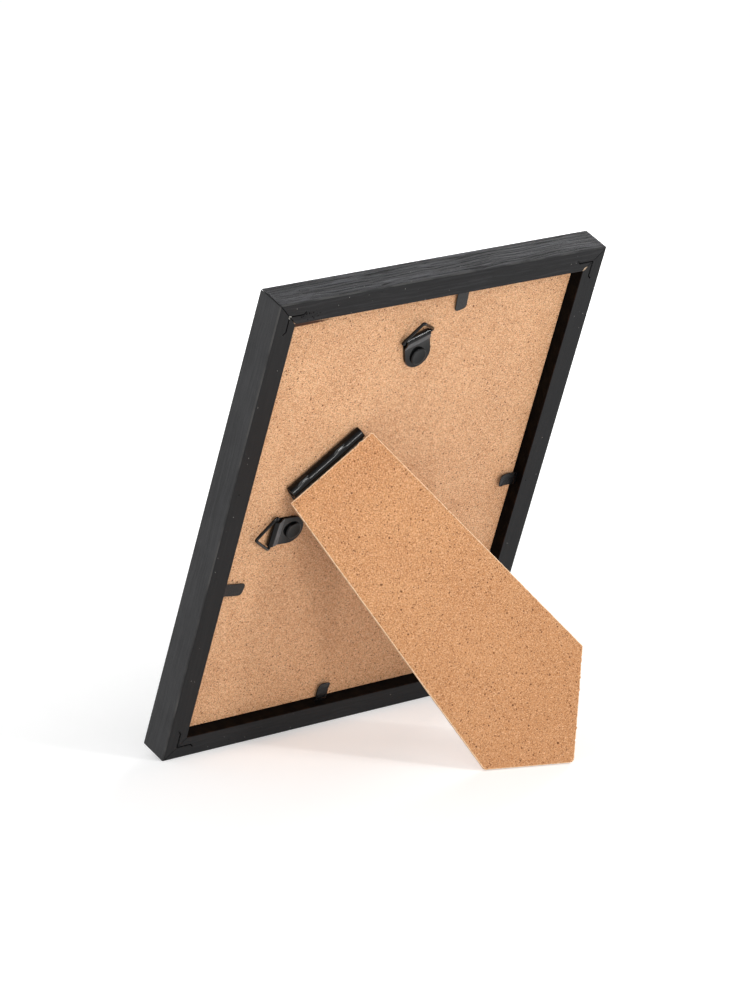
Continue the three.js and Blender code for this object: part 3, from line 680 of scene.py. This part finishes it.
# %% [markdown]
# ## The leg
# The leg is punched from the same kind of sheet. Its faces are smooth, but its edges show torn
# pale fibres. The outline is divided finely, each point is pushed in by about a tenth of a
# millimetre with a fixed noise, and the outer edge is eased, so the outline looks cut and not
# drawn with a ruler.

# %% Easel leg
TEAR, TEAR_MEAN, TEAR_SIZE, EDGE_EASE = 0.1, 0.8, 0.9, 0.3
DIVIDED_FROM, CUTS = 5, 80
LEG_WALL, LEG_FLAT = 0.5, 0.95
shape = merged_copy("easel_leg")
outer = max(shape.faces, key=lambda f: f.calc_area())
leg_face = outer.normal.copy()
walls = {f for e in outer.edges for f in e.link_faces if f is not outer}
long_edges = {e for f in walls for e in f.edges if e.calc_length() > DIVIDED_FROM * MM}
bmesh.ops.subdivide_edges(shape, edges=list(long_edges), cuts=CUTS, use_grid_fill=False)
shape.normal_update()
for vert in shape.verts:
    sides_met = [f.normal for f in vert.link_faces if abs(f.normal.dot(leg_face)) < LEG_WALL]
    if sides_met:
        away = sum(sides_met, Vector()).normalized()
        vert.co -= away * TEAR * (TEAR_MEAN + noise.noise(vert.co / (TEAR_SIZE * MM))) * MM
outer = max(shape.faces, key=lambda f: f.calc_area())
eased = bmesh.ops.bevel(
    shape, geom=list(outer.edges), offset=EDGE_EASE * MM, offset_type="OFFSET", affect="EDGES",
    segments=2, profile=0.5, material=-1, clamp_overlap=True)["faces"]
for face in shape.faces:
    face.material_index = 0 if abs(face.normal.dot(leg_face)) > LEG_FLAT else 1
leg = make_piece(shape, "hardboard_leg", "leg",
                 [leg_board, sawn_edge], ["easel_leg"])
print(leg.name, len(leg.data.vertices), "points,", len(eased), "faces on its eased edge")

# %% [markdown]
# ## Straps and tabs
# Straps and tabs are stamped from sheet, so their edges are slightly rounded by the coating. A
# strap's faces take their finish from how far they lean away from the ring: the slope below the
# fold is drawn grey as a painted sheen and the cut end is dull. The grips of the tabs sit in the
# wood and only need the finish.

# %% Straps and tabs
STRAP_EASE, TAB_EASE = 0.12, 0.1
SHEEN_LEAN, CUT_LEAN, UNDERSIDE = 0.25, 0.75, -0.3
for end in ("top", "left"):
    node = f"hanger_{end}_strap"
    shape = merged_copy(node)
    ease_edges(shape, STRAP_EASE)
    rivet_place, ring_place = (
        sum(panel_box(f"hanger_{end}_{part}"), Vector()) / 2 for part in ("rivet", "ring"))
    lengthwise = panel_turn.transposed() @ Vector((*(rivet_place - ring_place).xy, 0)).normalized()
    shape.normal_update()
    for face in shape.faces:
        lean = face.normal.dot(lengthwise) if face.normal.dot(panel_out) > UNDERSIDE else 0
        # Faces leaning towards the rivet take the grey painted sheen of the slope, the end faces the dull cut
        # black.
        face.material_index = 2 if lean > CUT_LEAN else 1 if lean > SHEEN_LEAN else 0
    even_shading(make_piece(shape, f"hanging_strap_{end}", "frame",
                            [strap_lacquer, sheen_lacquer, cut_black], [node], keen=60))
for end in ("top", "left", "bottom", "right"):
    shape = merged_copy(f"tab_{end}")
    ease_edges(shape, TAB_EASE)
    even_shading(make_piece(shape, f"bent_tab_{end}", f"tongue_{end}",
                            [tab_black], [f"tab_{end}"], keen=60))
    grip = nodes[f"tab_{end}_grip"].data
    grip.materials.clear()
    grip.materials.append(tab_black)
print("2 straps and 4 tabs")

# %% [markdown]
# ## Rings
# A ring is one bent wire. The solid has few sides, so a subdivision surface rounds the copy.

# %% Rings
for end in ("top", "left"):
    shape = merged_copy(f"hanger_{end}_ring")
    ring = make_piece(shape, f"wire_ring_{end}", f"ring_{end}",
                      [ring_lacquer], [f"hanger_{end}_ring"], keen=70)
    soften(ring, 1)
print("2 rings")

# %% [markdown]
# ## Rivets
# A rivet is a turned shape, so half of its outline is drawn and spun round its axis: a flat head
# with a rolled rim that closes on the strap, a shank, and a tail spread behind the board.

# %% Rivets
SHANK_RADIUS, TAIL_RADIUS, TAIL_HEIGHT = 1.4, 2.2, 0.5
HEAD_STAND, HEAD_EASE, HEAD_RISE = 0.98, 0.06, 0.08
# The rolled rim of the head, as distances in from its edge and below its top.
ROLLED_RIM = ((0, 0.46), (0.12, 0.26), (0.4, 0.17), (0.8, 0.2), (1.4, 0.3))


def spun(profile, steps=40):
    """A closed solid from an outline of radius and height in mm, spun round the Z axis."""
    shape = bmesh.new()
    points = [shape.verts.new((radius, 0, height)) for radius, height in profile]
    edges = [shape.edges.new(pair) for pair in zip(points, points[1:])]
    bmesh.ops.spin(shape, geom=points + edges, axis=(0, 0, 1), cent=(0, 0, 0), steps=steps,
                   angle=2 * math.pi, use_merge=True)
    bmesh.ops.remove_doubles(shape, verts=shape.verts, dist=0.001)
    bmesh.ops.recalc_face_normals(shape, faces=shape.faces)
    return shape


for end in ("top", "left"):
    low, high = panel_box(f"hanger_{end}_rivet")
    reach, top = (high.x - low.x) / 2, high.z - low.z
    under = top - HEAD_STAND
    outline = [(0, 0), (TAIL_RADIUS, 0), (TAIL_RADIUS, TAIL_HEIGHT), (SHANK_RADIUS, TAIL_HEIGHT),
               (SHANK_RADIUS, under), (reach - HEAD_EASE, under), (reach, under + HEAD_RISE)]
    outline += [(reach - inside, top - below) for inside, below in ROLLED_RIM]
    outline += [(0, top - ROLLED_RIM[-1][1])]
    shape = spun(outline)
    foot = Vector(((low.x + high.x) / 2, (low.y + high.y) / 2, low.z))
    for vert in shape.verts:
        vert.co = from_panel(foot + vert.co)
    rivet = make_piece(shape, f"rolled_rivet_{end}", "frame",
                       [strap_lacquer], [f"hanger_{end}_rivet"], keen=60)
    print(rivet.name, "radius", round(reach, 2), "mm")

# %% [markdown]
# ## The strut hinge
# Two leaves of thin sheet are rolled round one pin: the end knuckles belong to the board and the
# middle one to the leg. To the left of each joint the roll was pressed nearly flat, with a low
# ridge above, so the light along the barrel swings aside there and widens. A ring of points is
# extruded along the barrel and its radius is set at each step, which gives that uneven skin.

# %% Hinge leaves
LEAF_EASE = 0.1
for node, body in (("hinge_board_leaf", "frame"), ("hinge_leg_leaf", "leg")):
    shape = merged_copy(node)
    ease_edges(shape, LEAF_EASE)
    even_shading(make_piece(shape, node.replace("hinge", "rolled"), body,
                            [hinge_lacquer], [node], keen=50))
leg_joint = next(j for j in frame["joints"] if j["name"] == "leg_fold")
barrel_middle = Vector(leg_joint["pos_m"])
barrel_axis = Vector(leg_joint["axis"]).normalized()
barrel_turn = Matrix((panel_out, barrel_axis.cross(panel_out), barrel_axis)).transposed()
on_pin = [v.co - barrel_middle for v in nodes["hinge_pin"].data.vertices]
barrel_half = max(p.dot(barrel_axis) for p in on_pin) / MM
pin_radius = max((p - barrel_axis * p.dot(barrel_axis)).length for p in on_pin) / MM
print("barrel", round(2 * barrel_half, 1), "mm long, pin radius", round(pin_radius, 2))

# %% Pin
PIN_SUNK, PIN_CHAMFER = 1.6, 0.3


def on_barrel(shape):
    """Moves a shape from the Z axis, in millimetres, to its place round the barrel's axis."""
    for vert in shape.verts:
        vert.co = barrel_middle + barrel_turn @ vert.co * MM


pin_end = barrel_half - PIN_SUNK
shape = spun([(0, -pin_end), (pin_radius - PIN_CHAMFER, -pin_end),
              (pin_radius, PIN_CHAMFER - pin_end), (pin_radius, pin_end - PIN_CHAMFER),
              (pin_radius - PIN_CHAMFER, pin_end), (0, pin_end)])
on_barrel(shape)
make_piece(shape, "sunk_hinge_pin", "frame", [hinge_lacquer], ["hinge_pin"])
print("pin", round(2 * pin_end, 1), "mm long")

# %% Pressed places of the barrel
BARREL_RADIUS, END_KNUCKLE = 2.5, 9.3
PRESS_LENGTH, PRESS_FADE, PRESS_LEAD, LEAD_FADE = 5.4, 2.0, 0.6, 1.0
PRESS_TURN = math.radians(13)  # the pressed places are turned this far from the viewer
FLAT_START, FLAT_END, RIDGE_END = (math.radians(a) for a in (-11, 32, 58))
STRAIGHTENED = 0.65  # the share of the roll's turn that the press takes away
inner = barrel_half - END_KNUCKLE
viewer = barrel_turn.transposed() @ towards_camera
press_angle = math.atan2(viewer.y, viewer.x) - PRESS_TURN


def clamped(value):
    """The value held between 0 and 1."""
    return min(max(value, 0), 1)


def out_of_true(along, angle):
    """The roll's radius as a share of the true one: nearly flat to the left of each joint."""
    deep = sum(clamped((joint + PRESS_LENGTH - along) / PRESS_FADE)
               * clamped((along - joint + PRESS_LEAD) / LEAD_FADE) for joint in (inner, -inner))
    turn = math.remainder(angle - press_angle, 2 * math.pi)
    held = min(max(turn, FLAT_START), FLAT_END)
    flat = math.cos(STRAIGHTENED * (held - FLAT_START)) ** (-1 / STRAIGHTENED)
    fade = clamped((RIDGE_END - turn) / (RIDGE_END - FLAT_END))
    return 1 + deep * fade * fade * (3 - 2 * fade) * (flat - 1)


print("knuckles meet at", round(inner, 2), "mm to either side of the barrel's middle")

# %% Knuckles
SKIN = 1.01  # the lacquered roll's radius, as a share of the barrel's
KNUCKLE_SIDES, KNUCKLE_STEP = 60, 0.7
# Rings of an end, as distance in and share of the radius: a hollow mouth, or a cut at a joint.
MOUTH = [(0.9, 0.72), (0, 0.78), (-0.01, 0.9), (0.06, 0.99), (0.25, SKIN)]
JOINT = [(0.01, 0.93), (0.01, SKIN), (0.03, SKIN), (0.3, SKIN)]


def knuckle(name, body, start, near, end, far):
    """A lacquered roll from start to end along the barrel, with the rings of its two ends."""
    steps = round((end - start) / KNUCKLE_STEP)
    walk = [(start + inside, size) for inside, size in near]
    walk += [(start + (end - start) * step / steps, SKIN) for step in range(1, steps)]
    walk += [(end - inside, size) for inside, size in reversed(far)]
    shape = bmesh.new()
    ring = bmesh.ops.create_circle(
        shape, segments=KNUCKLE_SIDES, radius=BARREL_RADIUS)["verts"]
    edges = list(shape.edges)
    for index, (along, size) in enumerate(walk):
        if index:
            grown = bmesh.ops.extrude_edge_only(shape, edges=edges)["geom"]
            ring = [g for g in grown if isinstance(g, bmesh.types.BMVert)]
            edges = [g for g in grown if isinstance(g, bmesh.types.BMEdge)]
        for vert in ring:
            angle = math.atan2(vert.co.y, vert.co.x)
            reach = BARREL_RADIUS * size * out_of_true(along, angle)
            vert.co = (reach * math.cos(angle), reach * math.sin(angle), along)
    bmesh.ops.recalc_face_normals(shape, faces=shape.faces)
    on_barrel(shape)
    piece = make_piece(shape, name, body, [hinge_lacquer], keen=180)
    soften(piece, 1)
    return piece


for name, body, start, near, end, far in (
        ("end_knuckle_left", "frame", inner, JOINT, barrel_half, MOUTH),
        ("middle_knuckle", "leg", -inner, JOINT, inner, JOINT),
        ("end_knuckle_right", "frame", -barrel_half, MOUTH, -inner, JOINT)):
    piece = knuckle(name, body, start, near, end, far)
    print(piece.name, "from", round(start, 2), "to", round(end, 2))

# %% [markdown]
# ## Floor and light
# The studio is a white table in a white room. The floor is plain and keeps the soft shadow of the
# frame. For the camera, and in gloss and glass, floor and room look white. Soft lamps stand low on
# the right, on the left, in front and high on the right, so shapes turn gently from light to
# shade, and one on the far side lights the front. Two small lamps draw the thin bright lines on
# the barrel and on the fold of the upper strap.

# %% Floor
FLOOR_RADIUS, FLOOR_SIDES = 5, 64
NEAR, FAR, NEAR_GLOW, FAR_GLOW = 0.05, 0.6, 0.38, 0.66


def shown_white(tree):
    """1 for the rays that show the background: from the camera, off gloss and through glass."""
    shown = put(tree, "LightPath", give="Is Camera Ray")
    for kind in ("Is Glossy Ray", "Is Transmission Ray"):
        ray = put(tree, "LightPath", give=kind)
        shown = put(tree, "Math", {0: shown, 1: ray}, operation="MAXIMUM")
    return shown


def white_floor(name):
    """A plain white table that is lifted towards pure white away from the frame."""
    material, tree = new_material(name)
    table = put(tree, "BsdfDiffuse", {"Color": linear("#e6e6e6")})
    place = put(tree, "TexCoord", give="Object")
    away = put(tree, "VectorMath", {0: place}, give="Value", operation="LENGTH")
    glow = put(tree, "MapRange", {0: away, 1: NEAR, 2: FAR, 3: NEAR_GLOW, 4: FAR_GLOW},
               interpolation_type="SMOOTHSTEP")
    glow = put(tree, "Math", {0: shown_white(tree), 1: glow}, operation="MULTIPLY")
    lift = put(tree, "Emission", {"Strength": glow})
    put(tree, "OutputMaterial", {"Surface": put(tree, "AddShader", {0: table, 1: lift})})
    return material


shape = bmesh.new()
bmesh.ops.create_circle(shape, cap_ends=True, segments=FLOOR_SIDES, radius=FLOOR_RADIUS)
floor_mesh = bpy.data.meshes.new("white_floor")
shape.to_mesh(floor_mesh)
shape.free()
floor_mesh.materials.append(white_floor("white_table"))
floor = bpy.data.objects.new("white_floor", floor_mesh)
bpy.context.scene.collection.objects.link(floor)
floor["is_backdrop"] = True
print("floor radius", FLOOR_RADIUS, "m")

# %% Room and lamps
ROOM_LIGHT = 0.54
# Metres towards the camera, to its right and up from the frame, size in metres, and watts.
LAMPS = {
    "right_softbox": (1.3, 0.75, 0.1, 0.45, 4.4), "left_softbox": (0.9, -1.2, 0.25, 0.9, 5.8),
    "front_softbox": (1.6, 0.15, 0.35, 0.6, 6.2), "top_softbox": (0.55, 0.65, 1.1, 0.35, 3),
    "far_softbox": (-1.5, 0.54, 0.4, 0.6, 13), "right_glint": (1.31, 0.74, 0.08, 0.1, 2),
    "top_glint": (0.82, 1.04, 0.84, 0.08, 4)}
world = bpy.data.worlds.new("white_room")
bpy.context.scene.world = world
world.use_nodes = True
tree = world.node_tree
tree.nodes.clear()
strength = put(tree, "MapRange", {0: shown_white(tree), 3: ROOM_LIGHT, 4: 1.0})
put(tree, "OutputWorld", {"Surface": put(tree, "Background", {"Strength": strength})})

camera_right = camera.matrix_world.to_3x3() @ Vector((1, 0, 0))
level = Vector((towards_camera.x, towards_camera.y, 0)).normalized()
for name, (forward, right, height, size, watts) in LAMPS.items():
    data = bpy.data.lights.new(name, "AREA")
    data.size = size
    data.energy = watts
    lamp = bpy.data.objects.new(name, data)
    place = view_aim + level * forward + camera_right * right + Vector((0, 0, height))
    lamp.matrix_world = Matrix.Translation(place) @ (
        (place - view_aim).to_track_quat("Z", "Y").to_matrix().to_4x4())
    bpy.context.scene.collection.objects.link(lamp)
bpy.context.scene.view_settings.view_transform = "Standard"
print("room light", ROOM_LIGHT, "and", len(LAMPS), "lamps")

# %% [markdown]
# ## Measure and finish
# The dressed frame should stay inside the box of its solids, and here its own box is measured.

# %% Sizes
low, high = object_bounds()
